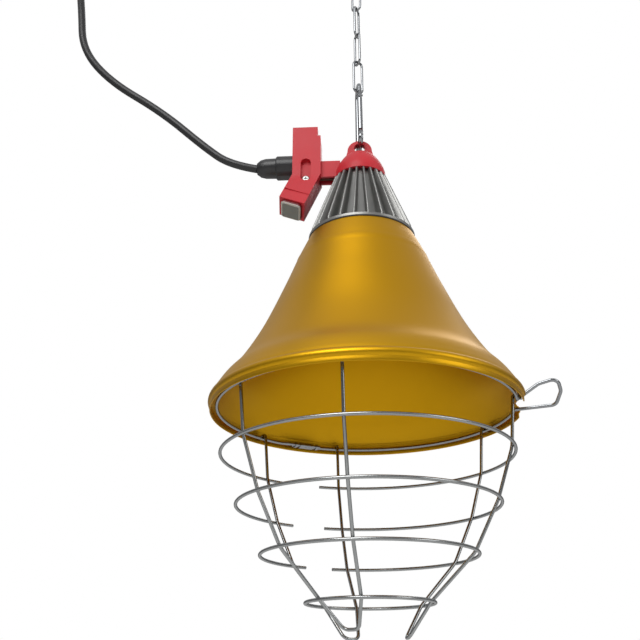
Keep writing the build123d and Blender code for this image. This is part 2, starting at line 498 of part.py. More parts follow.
# ---------------------------------------------------------------- retaining ring with its handle
CORNER = 2.4
start_turn = degrees(asin((HANDLE_HALF_WIDTH + CORNER) / RETAINER_RADIUS))
retainer = ring(RETAINER_RADIUS, RETAINER_Z, RETAINER_WIRE, HANDLE_TURN + start_turn,
                JOINT_TURN + 6.5 - HANDLE_TURN - start_turn)
retainer += ring(RETAINER_RADIUS, RETAINER_Z, RETAINER_WIRE, JOINT_TURN + 13,
                 360 + HANDLE_TURN - start_turn - JOINT_TURN - 13)
along = RETAINER_RADIUS * cos(radians(start_turn))
handle_path = FilletPolyline(
    (along, -HANDLE_HALF_WIDTH - CORNER, RETAINER_Z),
    (along + 0.3, -HANDLE_HALF_WIDTH, RETAINER_Z + 0.8),
    (113, -12, 12.5), (125, -14.5, 15.0), (127.5, -6, 9.0), (124.5, 2.5, 2.5),
    (along + 0.3, HANDLE_HALF_WIDTH, RETAINER_Z - 0.8),
    (along, HANDLE_HALF_WIDTH + CORNER, RETAINER_Z), radius=[1.9, 8, 5, 6, 5, 1.9])
retainer += Rot(0, 0, HANDLE_TURN) * wire(handle_path, RETAINER_WIRE)
# the far end of the wire steps inwards and lies beside the near end
inner = RETAINER_RADIUS - RETAINER_WIRE - 0.1
step_path = Spline(
    polar(RETAINER_RADIUS, JOINT_TURN + 13, RETAINER_Z), polar(inner, JOINT_TURN + 6, RETAINER_Z),
    tangents=(polar(1, JOINT_TURN - 77, 0), polar(1, JOINT_TURN - 84, 0)))
retainer += wire(step_path, RETAINER_WIRE)
retainer += ring(inner, RETAINER_Z, RETAINER_WIRE, JOINT_TURN - 6.5, 12.5)
keep("retaining_ring", retainer)

joint_radius = (RETAINER_RADIUS + inner) / 2
sleeve_section = Plane.XZ * Pos(joint_radius, RETAINER_Z) * SlotOverall(6.2, 3.7)
wires_section = Plane.XZ * Pos(joint_radius, RETAINER_Z) * SlotOverall(5.1, 2.5)
for name, start, angle in (("ring_sleeve", -3.3, 6.6), ("ring_clip_1", 4.6, 1.0), ("ring_clip_2", -5.6, 1.0)):
    band = revolve(sleeve_section, Axis.Z, angle) - revolve(wires_section, Axis.Z, angle)
    keep(name, Rot(0, 0, JOINT_TURN + start) * band)

# ---------------------------------------------------------------- guard rings and ribs
for number, (radius, z) in enumerate(GUARD_RINGS, 1):
    open_ring = number < len(GUARD_RINGS)
    angle = 360 - (RING_GAP[1] - RING_GAP[0]) if open_ring else 360
    keep(f"guard_ring_{number}", ring(radius, z, GUARD_WIRE, RING_GAP[1], angle))

hook_reach = (RETAINER_WIRE + GUARD_WIRE) / 2 + 0.15
for number, (turn, spread, tip_z) in enumerate(GUARD_RIBS, 1):
    profile = [(RETAINER_RADIUS + hook_reach, RETAINER_Z - 1.0),
               (RETAINER_RADIUS + hook_reach, RETAINER_Z + hook_reach),
               (RETAINER_RADIUS - hook_reach, RETAINER_Z + hook_reach)]
    profile += [(radius - GUARD_WIRE + TOUCH, z) for radius, z in GUARD_RINGS]
    down = [polar(r, turn + spread, z) for r, z in profile]
    up = [polar(r, turn - spread, z) for r, z in reversed(profile)]
    tip = [Vector(RIB_TIP_RADIUS, side * RIB_TIP_HALF, tip_z).rotate(Axis.Z, turn) for side in (1, -1)]
    leg_bends = [2.2, 2.2, 20, 20, 20, 10]
    path = FilletPolyline(*down, *tip, *up, radius=leg_bends + [5.4, 5.4] + leg_bends[::-1])
    keep(f"guard_rib_{number}", wire(path, GUARD_WIRE))
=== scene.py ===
"""A heat lamp for chicks and small livestock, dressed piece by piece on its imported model."""

import math

import bmesh
import bpy
from mathutils import Matrix, Vector


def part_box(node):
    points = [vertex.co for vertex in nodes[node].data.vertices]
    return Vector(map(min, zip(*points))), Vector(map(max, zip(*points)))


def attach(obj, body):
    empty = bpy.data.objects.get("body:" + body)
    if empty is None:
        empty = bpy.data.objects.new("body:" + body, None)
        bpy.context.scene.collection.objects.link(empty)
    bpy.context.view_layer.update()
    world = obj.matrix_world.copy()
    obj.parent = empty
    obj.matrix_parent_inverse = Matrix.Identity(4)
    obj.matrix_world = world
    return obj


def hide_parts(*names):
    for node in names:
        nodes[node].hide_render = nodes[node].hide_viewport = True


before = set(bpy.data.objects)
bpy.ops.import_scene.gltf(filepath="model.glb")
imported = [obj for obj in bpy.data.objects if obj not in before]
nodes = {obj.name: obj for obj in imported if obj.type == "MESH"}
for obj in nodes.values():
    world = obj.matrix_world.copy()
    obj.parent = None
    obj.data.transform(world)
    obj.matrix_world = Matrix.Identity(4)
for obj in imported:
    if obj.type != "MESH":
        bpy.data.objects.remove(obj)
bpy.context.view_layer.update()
MM = 0.001

# ---------------------------------------------------------------- the studio
# The lamp hangs in a plain pale room, over a pale floor. One broad soft light stands in front and
# above, one fills from the right, a weak one lights the reflector from below and one stands behind.
rim_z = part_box("reflector")[0].z


def place(x, y, z):
    """A point in millimetres from the lamp's axis and the reflector's lower edge."""
    return Vector((x * MM, y * MM, z * MM + rim_z))


camera_data = bpy.data.cameras.new("camera")
camera_data.lens = 46.73
camera_data.sensor_width = 36.0
camera_data.clip_start = 0.01
LOOKS_UP, LOOKS_ASIDE = 23.8, 3.28      # degrees
camera = bpy.data.objects.new("camera", camera_data)
camera.location = place(0, -536.1, -165.8)
camera.rotation_euler = (math.radians(90 + LOOKS_UP), 0, math.radians(LOOKS_ASIDE))
bpy.context.scene.collection.objects.link(camera)
bpy.context.scene.camera = camera
bpy.context.scene.view_settings.view_transform = "Standard"


def soft_light(name, target, distance, azimuth, elevation, size, power):
    """An area light that looks at a point from a direction, azimuth 0 being the front."""
    turn, lift = math.radians(azimuth), math.radians(elevation)
    across = math.cos(lift)
    away = Vector((math.sin(turn) * across, -math.cos(turn) * across, math.sin(lift)))
    data = bpy.data.lights.new(name, "AREA")
    data.shape = "DISK"
    data.size = size
    data.energy = power
    lamp = bpy.data.objects.new(name, data)
    lamp.location = target + away * distance
    lamp.rotation_euler = (-away).to_track_quat("-Z", "Y").to_euler()
    bpy.context.scene.collection.objects.link(lamp)


middle = place(0, 0, 60)
soft_light("key", middle, 1.6, -20, 38, 1.1, 15)
soft_light("fill", middle, 1.8, 62, 18, 1.0, 6)
soft_light("under", middle, 1.5, -25, -50, 0.5, 3)
soft_light("back", middle, 1.6, 165, 45, 0.8, 4)

world = bpy.data.worlds.new("room")
bpy.context.scene.world = world
world.use_nodes = True
tree = world.node_tree
tree.nodes.clear()
room_output = tree.nodes.new("ShaderNodeOutputWorld")
room_white = tree.nodes.new("ShaderNodeBackground")
room_white.inputs["Color"].default_value = (1, 1, 1, 1)
room_grey = tree.nodes.new("ShaderNodeBackground")
room_side = tree.nodes.new("ShaderNodeTexCoord")
room_height = tree.nodes.new("ShaderNodeSeparateXYZ")
room_tones = tree.nodes.new("ShaderNodeValToRGB")
room_shift = tree.nodes.new("ShaderNodeMapRange")
room_shift.inputs["From Min"].default_value = -1.0
tree.links.new(room_side.outputs["Generated"], room_height.inputs[0])
tree.links.new(room_height.outputs["Z"], room_shift.inputs["Value"])
tree.links.new(room_shift.outputs["Result"], room_tones.inputs["Fac"])
tones = ((0.0, 0.34), (0.36, 0.20), (0.50, 0.10), (0.62, 0.26), (0.85, 0.60), (1.0, 0.68))
while len(room_tones.color_ramp.elements) < len(tones):
    room_tones.color_ramp.elements.new(0.5)
for stop, (where, tone) in zip(room_tones.color_ramp.elements, tones):
    stop.position = where
    stop.color = (tone, tone, tone * 1.01, 1)
tree.links.new(room_tones.outputs["Color"], room_grey.inputs["Color"])
seen = tree.nodes.new("ShaderNodeLightPath")
mixed = tree.nodes.new("ShaderNodeMixShader")
tree.links.new(seen.outputs["Is Camera Ray"], mixed.inputs["Fac"])
tree.links.new(room_grey.outputs[0], mixed.inputs[1])
tree.links.new(room_white.outputs[0], mixed.inputs[2])
tree.links.new(mixed.outputs[0], room_output.inputs["Surface"])

FLOOR_SIZE, FLOOR_DEPTH = 12, 560       # metres across, millimetres below the reflector's edge
bpy.ops.mesh.primitive_plane_add(size=FLOOR_SIZE, location=place(0, 0, -FLOOR_DEPTH))
floor = bpy.context.object
floor.name = "floor"
floor_paint = bpy.data.materials.new("pale_floor")
floor_paint.use_nodes = True
floor_shader = floor_paint.node_tree.nodes["Principled BSDF"]
floor_shader.inputs["Base Color"].default_value = (0.86, 0.86, 0.85, 1)
floor_shader.inputs["Roughness"].default_value = 0.7
floor.data.materials.append(floor_paint)

# ---------------------------------------------------------------- supply cord
# Round black rubber cord, 6.2 mm thick and about 2.2 m long. It sags away from the gland to the
# left and up, is wound into a coil of seven and a half turns, and ends in a moulded plug.
CORD = 6.2


def group_socket(group, name, direction, kind="NodeSocketFloat", value=None):
    """One named input or output of a shader group."""
    socket = group.interface.new_socket(name=name, in_out=direction, socket_type=kind)
    if value is not None:
        socket.default_value = value


def make_grain_group():
    """Tone and grain from noise in the object's own space."""
    group = bpy.data.node_groups.new("tone_and_grain", "ShaderNodeTree")
    group_socket(group, "Tone Scale", "INPUT", value=30.0)
    group_socket(group, "Tone Spread", "INPUT", value=0.1)
    group_socket(group, "Grain Scale", "INPUT", value=1500.0)
    group_socket(group, "Color", "INPUT", "NodeSocketColor")
    group_socket(group, "Roughness", "INPUT", value=0.4)
    group_socket(group, "Roughness Spread", "INPUT", value=0.1)
    group_socket(group, "Color", "OUTPUT", "NodeSocketColor")
    group_socket(group, "Roughness", "OUTPUT")
    group_socket(group, "Grain", "OUTPUT")
    new, link = group.nodes.new, group.links.new
    given, result = new("NodeGroupInput"), new("NodeGroupOutput")
    space = new("ShaderNodeTexCoord")
    slow = new("ShaderNodeTexNoise")
    slow.inputs["Detail"].default_value = 4
    link(space.outputs["Object"], slow.inputs["Vector"])
    link(given.outputs["Tone Scale"], slow.inputs["Scale"])
    fine = new("ShaderNodeTexNoise")
    fine.inputs["Detail"].default_value = 2
    link(space.outputs["Object"], fine.inputs["Vector"])
    link(given.outputs["Grain Scale"], fine.inputs["Scale"])
    centred = new("ShaderNodeMath")
    centred.operation = "SUBTRACT"
    link(slow.outputs["Fac"], centred.inputs[0])
    centred.inputs[1].default_value = 0.5
    spread = new("ShaderNodeMath")
    spread.operation = "MULTIPLY_ADD"
    link(centred.outputs[0], spread.inputs[0])
    link(given.outputs["Tone Spread"], spread.inputs[1])
    spread.inputs[2].default_value = 1.0
    tinted = new("ShaderNodeVectorMath")
    tinted.operation = "SCALE"
    link(given.outputs["Color"], tinted.inputs[0])
    link(spread.outputs[0], tinted.inputs["Scale"])
    link(tinted.outputs[0], result.inputs["Color"])
    rough = new("ShaderNodeMath")
    rough.operation = "MULTIPLY_ADD"
    link(centred.outputs[0], rough.inputs[0])
    link(given.outputs["Roughness Spread"], rough.inputs[1])
    link(given.outputs["Roughness"], rough.inputs[2])
    link(rough.outputs[0], result.inputs["Roughness"])
    link(fine.outputs["Fac"], result.inputs["Grain"])
    return group


grain_group = make_grain_group()


def finish_of(name, color, roughness, metallic=0.0, tone=(30, 0.15), grain=(1500, 0.1, 0.02),
              rough_spread=0.1):
    """A material whose tone drifts over the surface, with a fine grain that the light catches.

    Tone is its scale and spread. Grain is its scale, strength and depth in millimetres.
    """
    material = bpy.data.materials.new(name)
    material.use_nodes = True
    nodes_of, link = material.node_tree.nodes, material.node_tree.links.new
    shader = nodes_of["Principled BSDF"]
    shader.inputs["Metallic"].default_value = metallic
    effect = nodes_of.new("ShaderNodeGroup")
    effect.node_tree = grain_group
    effect.inputs["Color"].default_value = (*color, 1)
    effect.inputs["Tone Scale"].default_value = tone[0]
    effect.inputs["Tone Spread"].default_value = tone[1] * 2
    effect.inputs["Grain Scale"].default_value = grain[0]
    effect.inputs["Roughness"].default_value = roughness
    effect.inputs["Roughness Spread"].default_value = rough_spread * 2
    bump = nodes_of.new("ShaderNodeBump")
    bump.inputs["Strength"].default_value = grain[1]
    bump.inputs["Distance"].default_value = grain[2] * MM
    link(effect.outputs["Color"], shader.inputs["Base Color"])
    link(effect.outputs["Roughness"], shader.inputs["Roughness"])
    link(effect.outputs["Grain"], bump.inputs["Height"])
    link(bump.outputs["Normal"], shader.inputs["Normal"])
    return material


def paint(piece, material):
    """Give a piece or a carried-over node one material."""
    piece.data.materials.clear()
    piece.data.materials.append(material)


def new_piece(name, data):
    """An object in the scene for a mesh or a curve."""
    piece = bpy.data.objects.new(name, data)
    bpy.context.scene.collection.objects.link(piece)
    return piece


def stand_in(piece, body, slot, *replaced):
    """A new piece: attached to its body, with the nodes it stands for hidden; its finish slot is not
    used.
    """
    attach(piece, body)
    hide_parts(*replaced)


route = [
    (-79.1, 0, 199.4), (-100, 0, 204), (-121, 0, 221), (-158, 0, 257), (-204, 0, 290),
    (-231, 0, 325), (-236.5, 0, 366), (-243, 2, 400), (-245.6, 7.2, 427)]
tail = [
    (-246, -54, 498.5), (-246, -78, 488.5), (-246.5, -96, 468), (-246.5, -101.5, 446),
    (-246, -102, 428)]
COIL_X, COIL_Y, COIL_Z = -246, -37.7, 456
COIL_RADIUS = 38.0
COIL_START, COIL_END = -10, 110 + 360 * 7       # degrees, counted from the back
POINTS_A_TURN = 16
CROSSING = 0.25         # share of a turn in which the cord moves over to its next place
# where each turn lies in the bundle: across it, and outwards from the coil's middle
bundle = (
    (0.0, 7.2), (6.3, 3.6), (6.3, -3.0), (0.0, -6.8), (-6.3, -3.0), (-6.3, 3.6), (-0.2, 0.3),
    (0.2, 7.0))
coil = []
steps = round((COIL_END - COIL_START) / 360 * POINTS_A_TURN)
for step in range(steps + 1):
    degrees = COIL_START + (COIL_END - COIL_START) * step / steps
    turn = max(degrees, 0) / 360
    here, onward = int(turn) % len(bundle), (int(turn) + 1) % len(bundle)
    share = max(0.0, (turn - int(turn) - (1 - CROSSING)) / CROSSING)
    share = share * share * (3 - 2 * share)
    across = bundle[here][0] * (1 - share) + bundle[onward][0] * share
    outward = bundle[here][1] * (1 - share) + bundle[onward][1] * share
    angle, radius = math.radians(degrees), COIL_RADIUS + outward
    y, z = radius * math.cos(angle), radius * math.sin(angle)
    coil.append((COIL_X + across, COIL_Y + y, COIL_Z + z))
cord_data = bpy.data.curves.new("cord", "CURVE")
cord_data.dimensions = "3D"
cord_data.bevel_depth = CORD / 2 * MM
cord_data.bevel_resolution = 5
cord_data.resolution_u = 8
cord_data.use_fill_caps = True
line = cord_data.splines.new("NURBS")
cord_points = route + coil + tail
line.points.add(len(cord_points) - 1)
for point, spot in zip(line.points, cord_points):
    point.co = (*place(*spot), 1)
line.order_u = 3
line.use_endpoint_u = True
cord = new_piece("cord", cord_data)
cord_rubber = finish_of(
    "cord_rubber", (0.013, 0.013, 0.014), 0.42, tone=(60, 0.2), grain=(2500, 0.25, 0.05))
paint(cord, cord_rubber)
stand_in(cord, "lamp", "cord_rubber", "supply_cord", "cord_coil", "cord_tail")

# ---------------------------------------------------------------- reflector
# One aluminium sheet, spun to a flared cone, with a bead rolled round its mouth and a plain band
# below the bead. It is anodised gold; inside, painted shade darkens it towards the neck.
SHEET = 0.9
MOUTH, BEAD, NECK, NECK_TOP = 104.2, 105.4, 38.9, 132.0
NECK_HOLE = 27.2
STEP_HEIGHT, STEP_LIFT, STEP_SPREAD = 113.0, 0.30, 0.9      # shallow bead where the neck was sized
NOTCH_TURN, NOTCH_HEIGHT = -4, 4.2                          # for the legs of the guard's handle
NOTCH_SIZES = (12, 36.2, 12.6)
flare = [(101.4, 12.6), (96.4, 19.9), (86.0, 32.2), (71.5, 57.0), (57.0, 89.5), (46.5, 115.5)]


def smooth_line(points, pieces=10):
    """A Catmull-Rom line through points in a plane."""
    points = [Vector(p) for p in points]
    ends = [points[0] * 2 - points[1], *points, points[-1] * 2 - points[-2]]
    out = []
    for a, b, c, d in zip(ends, ends[1:], ends[2:], ends[3:]):
        for k in range(pieces):
            t = k / pieces
            out.append(((b * 2) + (c - a) * t + (a * 2 - b * 5 + c * 4 - d) * t * t
                        + (b * 3 - a - c * 3 + d) * t * t * t) / 2)
    return out + [points[-1]]


def arc_line(start, peak, end, pieces=10):
    """A circular arc through three points in a plane."""
    a, b, c = Vector(start), Vector(peak), Vector(end)
    d = 2 * (a.x * (b.y - c.y) + b.x * (c.y - a.y) + c.x * (a.y - b.y))
    sa, sb, sc = a.length_squared, b.length_squared, c.length_squared
    centre = Vector(((sa * (b.y - c.y) + sb * (c.y - a.y) + sc * (a.y - b.y)) / d,
                     (sa * (c.x - b.x) + sb * (a.x - c.x) + sc * (b.x - a.x)) / d))
    first, last = (math.atan2(*(v - centre).yx) for v in (a, c))
    radius = (a - centre).length
    out = []
    for k in range(pieces + 1):
        angle = first + (last - first) * k / pieces
        out.append(centre + Vector((math.cos(angle), math.sin(angle))) * radius)
    return out


def lathe(name, outline, steps):
    """A turned mesh from a closed outline of (radius, height) points in millimetres."""
    mesh = bmesh.new()
    rows = []
    for step in range(steps):
        angle = 2 * math.pi * step / steps
        rows.append([
            mesh.verts.new(place(r * math.cos(angle), r * math.sin(angle), z)) for r, z in outline])
    for step in range(steps):
        near, far = rows[step], rows[(step + 1) % steps]
        for k in range(len(outline)):
            after = (k + 1) % len(outline)
            mesh.faces.new((near[k], far[k], far[after], near[after]))
    bmesh.ops.recalc_face_normals(mesh, faces=mesh.faces)
    data = bpy.data.meshes.new(name)
    mesh.to_mesh(data)
    mesh.free()
    return new_piece(name, data)


def cut_away(piece, centre, sizes, turn):
    """Cut a box out of a piece, by its centre, its sizes and its turn about the axis in degrees."""
    spin = (0, 0, math.radians(turn))
    bpy.ops.mesh.primitive_cube_add(size=1, location=place(*centre), rotation=spin)
    cutter = bpy.context.object
    cutter.scale = [s * MM for s in sizes]
    cut = piece.modifiers.new("cut", "BOOLEAN")
    cut.operation = "DIFFERENCE"
    cut.object = cutter
    bpy.context.view_layer.update()
    finished = piece.evaluated_get(bpy.context.evaluated_depsgraph_get())
    piece_data = bpy.data.meshes.new_from_object(finished)
    piece.modifiers.clear()
    piece.data = piece_data
    bpy.data.objects.remove(cutter)


def shade_smooth(piece, angle):
    """Smooth shading with creases where faces meet more sharply than an angle."""
    piece.data.shade_smooth()
    marked = bmesh.new()
    marked.from_mesh(piece.data)
    for edge in marked.edges:
        if len(edge.link_faces) == 2 and edge.calc_face_angle(0) > math.radians(angle):
            edge.smooth = False
    marked.to_mesh(piece.data)
    marked.free()


def reflector_line(inset, top):
    """From the edge of the band over both beads to the neck, drawn in by an inset."""
    band = MOUTH - inset
    line_up = [Vector((band, 0.5)), Vector((band, 2.0))]
    line_up += arc_line((band, 3.2), (BEAD - inset, 6.0), (band - 0.6, 8.8))
    wall = smooth_line(
        [(band - 0.6, 8.8)] + [(r - inset, z) for r, z in flare] + [(NECK - inset, top)])
    sized = []
    for spot in wall[1:]:
        lift = STEP_LIFT * math.exp(-((spot.y - STEP_HEIGHT) / STEP_SPREAD) ** 2)
        sized.append(Vector((spot.x + lift, spot.y)))
    return line_up + sized


outline = [Vector((MOUTH - 0.2, 0.1))] + reflector_line(0, NECK_TOP)
outline += [Vector((NECK_HOLE, NECK_TOP)), Vector((NECK_HOLE, NECK_TOP - SHEET))]
outline += list(reversed(reflector_line(SHEET, NECK_TOP - SHEET)))
outline += [Vector((MOUTH - SHEET + 0.2, 0.1)), Vector((MOUTH - SHEET / 2, 0))]
reflector = lathe("reflector_shell", outline, steps=288)
for face in reflector.data.polygons:
    outwards = Vector((face.center.x, face.center.y, 0))
    face.material_index = 1 if face.normal.dot(outwards) < 0 else 0
notch_angle = math.radians(NOTCH_TURN)
notch_centre = (MOUTH * math.cos(notch_angle), MOUTH * math.sin(notch_angle), NOTCH_HEIGHT)
cut_away(reflector, notch_centre, NOTCH_SIZES, NOTCH_TURN)
shade_smooth(reflector, 40)


def make_spun_group():
    """Fine rings from the spinning tool, and how far up the wall a point lies, from 0 to 1."""
    group = bpy.data.node_groups.new("spun_sheet", "ShaderNodeTree")
    group_socket(group, "Low", "INPUT", value=0.0)
    group_socket(group, "High", "INPUT", value=0.1)
    group_socket(group, "Rings", "OUTPUT")
    group_socket(group, "Height", "OUTPUT")
    new, link = group.nodes.new, group.links.new
    given, result = new("NodeGroupInput"), new("NodeGroupOutput")
    space = new("ShaderNodeTexCoord")
    split = new("ShaderNodeSeparateXYZ")
    link(space.outputs["Object"], split.inputs[0])
    rings = new("ShaderNodeTexNoise")
    rings.noise_dimensions = "1D"
    rings.inputs["Scale"].default_value = 1400
    rings.inputs["Detail"].default_value = 3
    link(split.outputs["Z"], rings.inputs["W"])
    link(rings.outputs["Fac"], result.inputs["Rings"])
    height = new("ShaderNodeMapRange")
    height.interpolation_type = "SMOOTHSTEP"
    link(split.outputs["Z"], height.inputs["Value"])
    link(given.outputs["Low"], height.inputs["From Min"])
    link(given.outputs["High"], height.inputs["From Max"])
    link(height.outputs["Result"], result.inputs["Height"])
    return group


def anodised_gold(name, low_color, high_color, low, high, roughness):
    """Anodised sheet whose colour changes between two heights above the reflector's edge."""
    material = finish_of(
        name, low_color, roughness, metallic=1.0, tone=(14, 0.10), grain=(5200, 0.10, 0.02),
        rough_spread=0.06)
    nodes_of, link = material.node_tree.nodes, material.node_tree.links.new
    shader, effect = nodes_of["Principled BSDF"], nodes_of["Group"]
    spun = nodes_of.new("ShaderNodeGroup")
    spun.node_tree = spun_group
    spun.inputs["Low"].default_value = rim_z + low * MM
    spun.inputs["High"].default_value = rim_z + high * MM
    darkened = nodes_of.new("ShaderNodeMix")
    darkened.data_type = "RGBA"
    link(spun.outputs["Height"], darkened.inputs["Factor"])
    link(effect.outputs["Color"], darkened.inputs["A"])
    darkened.inputs["B"].default_value = (*high_color, 1)
    link(darkened.outputs["Result"], shader.inputs["Base Color"])
    ripple = nodes_of.new("ShaderNodeBump")
    ripple.inputs["Strength"].default_value = 0.12
    ripple.inputs["Distance"].default_value = 0.03 * MM
    link(spun.outputs["Rings"], ripple.inputs["Height"])
    link(nodes_of["Bump"].outputs["Normal"], ripple.inputs["Normal"])
    link(ripple.outputs["Normal"], shader.inputs["Normal"])
    return material


spun_group = make_spun_group()
paint(reflector, anodised_gold(
    "anodised_gold", (0.60, 0.325, 0.010), (0.56, 0.292, 0.006), 0, 30, 0.42))
# painted shade: inside, the gold darkens towards the neck, deep in the cone
reflector.data.materials.append(anodised_gold(
    "inside_gold_painted_shade", (0.60, 0.32, 0.008), (0.15, 0.066, 0.002), 0, 62, 0.45))
stand_in(reflector, "lamp", "gold_anodised", "reflector")

# ---------------------------------------------------------------- black neck ring (painted shade)
# A thin black ring between the reflector and the heat sink, a little proud. It lies where shade
# falls under the heat sink's flange, and its black is painted shade.
shade_ring = lathe("shade_ring_at_neck", [
    (27.6, 132.05), (39.0, 132.05), (39.25, 132.3), (39.25, 132.7), (39.0, 132.95),
    (27.6, 132.95)], 144)
shade_smooth(shade_ring, 60)
# painted shade: a black ring where shade falls under the heat sink's flange
paint(shade_ring, finish_of("gasket_rubber", (0.02, 0.02, 0.02), 0.6))
stand_in(shade_ring, "lamp", "gasket_rubber", "neck_gasket")

# ---------------------------------------------------------------- heat sink
# One aluminium die casting: a hollow cone on a round flange, with 24 fins that taper outwards and
# end in a rounded rib. It is bare, with the grey, slightly sandy skin of a casting.
FINS = 24
ROOT_HALF, EDGE_HALF = 1.15, 0.72       # half the thickness of a fin
sink = lathe("sink_core", [
    (24, 133), (38.6, 133), (39, 133.4), (39, 135.1), (38.4, 135.7), (31.5, 136.9),
    (30.2, 138.5), (15.6, 186.5), (4.5, 186.5), (4.5, 158), (22, 158)], 144)
shade_smooth(sink, 30)


def add_fin(mesh, turn):
    """One fin: rows of points round its section, up the cone, thicker at the root."""
    rows = []
    spin = Matrix.Rotation(turn, 3, "Z")
    for inner, outer, z in (
            (28.6, 38.5, 134.4), (27.6, 38.6, 137.0), (15.8, 21.0, 183.6), (15.2, 20.3, 185.5),
            (15.2, 18.9, 186.4)):
        section = [
            (inner, -ROOT_HALF), (outer - 0.7, -EDGE_HALF), (outer - 0.15, -EDGE_HALF * 0.6),
            (outer, 0), (outer - 0.15, EDGE_HALF * 0.6), (outer - 0.7, EDGE_HALF),
            (inner, ROOT_HALF)]
        rows.append([mesh.verts.new(place(*(spin @ Vector((x, y, z))))) for x, y in section])
    count = len(rows[0])
    for low, high in zip(rows, rows[1:]):
        for k in range(count):
            after = (k + 1) % count
            mesh.faces.new((low[k], low[after], high[after], high[k]))
    mesh.faces.new(list(reversed(rows[0])))
    mesh.faces.new(rows[-1])


fins_mesh = bmesh.new()
for k in range(FINS):
    add_fin(fins_mesh, 2 * math.pi * (k + 0.5) / FINS)
bmesh.ops.recalc_face_normals(fins_mesh, faces=fins_mesh.faces)
all_fins = bpy.data.meshes.new("sink_fins")
fins_mesh.to_mesh(all_fins)
fins_mesh.free()
fins = new_piece("sink_fins", all_fins)
shade_smooth(fins, 50)
cast = finish_of(
    "cast_aluminium", (0.27, 0.27, 0.26), 0.40, metallic=0.92, tone=(70, 0.16),
    grain=(1300, 0.35, 0.12), rough_spread=0.12)
for piece in (sink, fins):
    paint(piece, cast)
    stand_in(piece, "lamp", "cast_aluminium", "heat_sink")

# ---------------------------------------------------------------- cap, switch box and its cover
# Two mouldings in red plastic with a fine textured skin. The cap, its lug, the arm and the rear of
# the box are one piece. The cover is the front of the box and carries the snout.


def softened(node, name, width, angle=32):
    """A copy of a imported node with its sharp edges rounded, as a mould leaves them."""
    mesh = bmesh.new()
    mesh.from_mesh(nodes[node].data)
    bmesh.ops.remove_doubles(mesh, verts=mesh.verts, dist=1e-6)
    bmesh.ops.dissolve_limit(mesh, angle_limit=math.radians(1.5), verts=mesh.verts, edges=mesh.edges)
    data = bpy.data.meshes.new(name)
    mesh.to_mesh(data)
    mesh.free()
    piece = new_piece(name, data)
    piece.matrix_world = nodes[node].matrix_world.copy()
    rounding = piece.modifiers.new("rounding", "BEVEL")
    rounding.width = width * MM
    rounding.segments = 2
    rounding.limit_method = "ANGLE"
    rounding.angle_limit = math.radians(angle)
    piece.data.shade_smooth()
    even = piece.modifiers.new("even_shading", "WEIGHTED_NORMAL")
    even.mode = "FACE_AREA"
    even.weight = 100
    return piece


red = finish_of(
    "red_plastic", (0.53, 0.020, 0.030), 0.46, tone=(45, 0.10), grain=(1800, 0.30, 0.06),
    rough_spread=0.08)
red.node_tree.nodes["Principled BSDF"].inputs["Specular IOR Level"].default_value = 0.32
for node, name, width in (
        ("suspension_cap", "cap_moulding", 0.55), ("box_cover", "cover_moulding", 0.6)):
    piece = softened(node, name, width)
    paint(piece, red)
    stand_in(piece, "lamp", "red_plastic", node)

# ---------------------------------------------------------------- switch in the snout
# A small rocker switch sits in the end of the snout, under a silicone boot. The boot's flat middle
# looks smoky, its rounded edge is pale, and its sides show the snout's red, darkened as painted
# shade.
boot = softened("switch_boot", "boot_moulding", 0.12)
window = finish_of(
    "boot_window", (0.17, 0.165, 0.14), 0.16, tone=(180, 0.12), grain=(900, 0.08, 0.05))
border = finish_of(
    "boot_border", (0.52, 0.47, 0.42), 0.30, tone=(180, 0.08), grain=(900, 0.08, 0.05))
for skin in (window, border):
    skin.node_tree.nodes["Principled BSDF"].inputs["Subsurface Weight"].default_value = 0.1
paint(boot, border)
boot.data.materials.append(window)
# painted shade: the boot's sides are dark red where shade frames the window
boot.data.materials.append(finish_of("boot_side_painted_shade", (0.16, 0.014, 0.016), 0.35))
outermost = max(boot.data.polygons, key=lambda face: face.area if face.normal.z < -0.85 else 0)
outermost.material_index = 1
for face in boot.data.polygons:
    if abs(face.normal.dot(outermost.normal)) < 0.3:
        face.material_index = 2
stand_in(boot, "lamp", "clear_silicone", "switch_boot")
paint(nodes["rocker"], finish_of("rocker_plastic", (0.16, 0.012, 0.014), 0.35))
paint(nodes["switch_body"], finish_of("switch_frame", (0.62, 0.50, 0.48), 0.4))

# ---------------------------------------------------------------- gland
# Black nylon: the gland's body and dome nut grip the cord where it enters the box, and the nut
# inside the wall holds them.
black = finish_of(
    "black_nylon", (0.018, 0.018, 0.019), 0.36, tone=(80, 0.2), grain=(2200, 0.2, 0.04))
gland = softened("cord_gland", "gland_moulding", 0.45, angle=28)
paint(gland, black)
stand_in(gland, "lamp", "black_plastic", "cord_gland")
for node in ("gland_nut", "diode"):
    paint(nodes[node], black)
paint(nodes["cord_entry"], cord_rubber)

# ---------------------------------------------------------------- snap hook, chain and top hook
# Bright zinc-plated steel wire: welded oval links, a bent snap hook with a sprung gate on a pin,
# and an S-shaped hook at the top.


def rounded_corners(corners, bends, closed=False):
    """Straight runs with an arc of a given radius at each inner corner, in millimetres."""
    corners = [Vector(c) for c in corners]
    points = [] if closed else [corners[0]]
    inner = range(len(corners)) if closed else range(1, len(corners) - 1)
    for k in inner:
        before, here, after = corners[k - 1], corners[k], corners[(k + 1) % len(corners)]
        into, out = (here - before).normalized(), (after - here).normalized()
        half = into.angle(out) / 2
        bend = bends[k % len(bends)] if closed else bends[k - 1]
        middle_of = here + (out - into).normalized() * (bend / math.cos(half))
        start, normal = here - into * bend * math.tan(half), into.cross(out).normalized()
        steps_of = max(3, round(math.degrees(2 * half) / 9))
        for step in range(steps_of + 1):
            spin = Matrix.Rotation(2 * half * step / steps_of, 3, normal)
            points.append(middle_of + spin @ (start - middle_of))
    return points if closed else points + [corners[-1]]


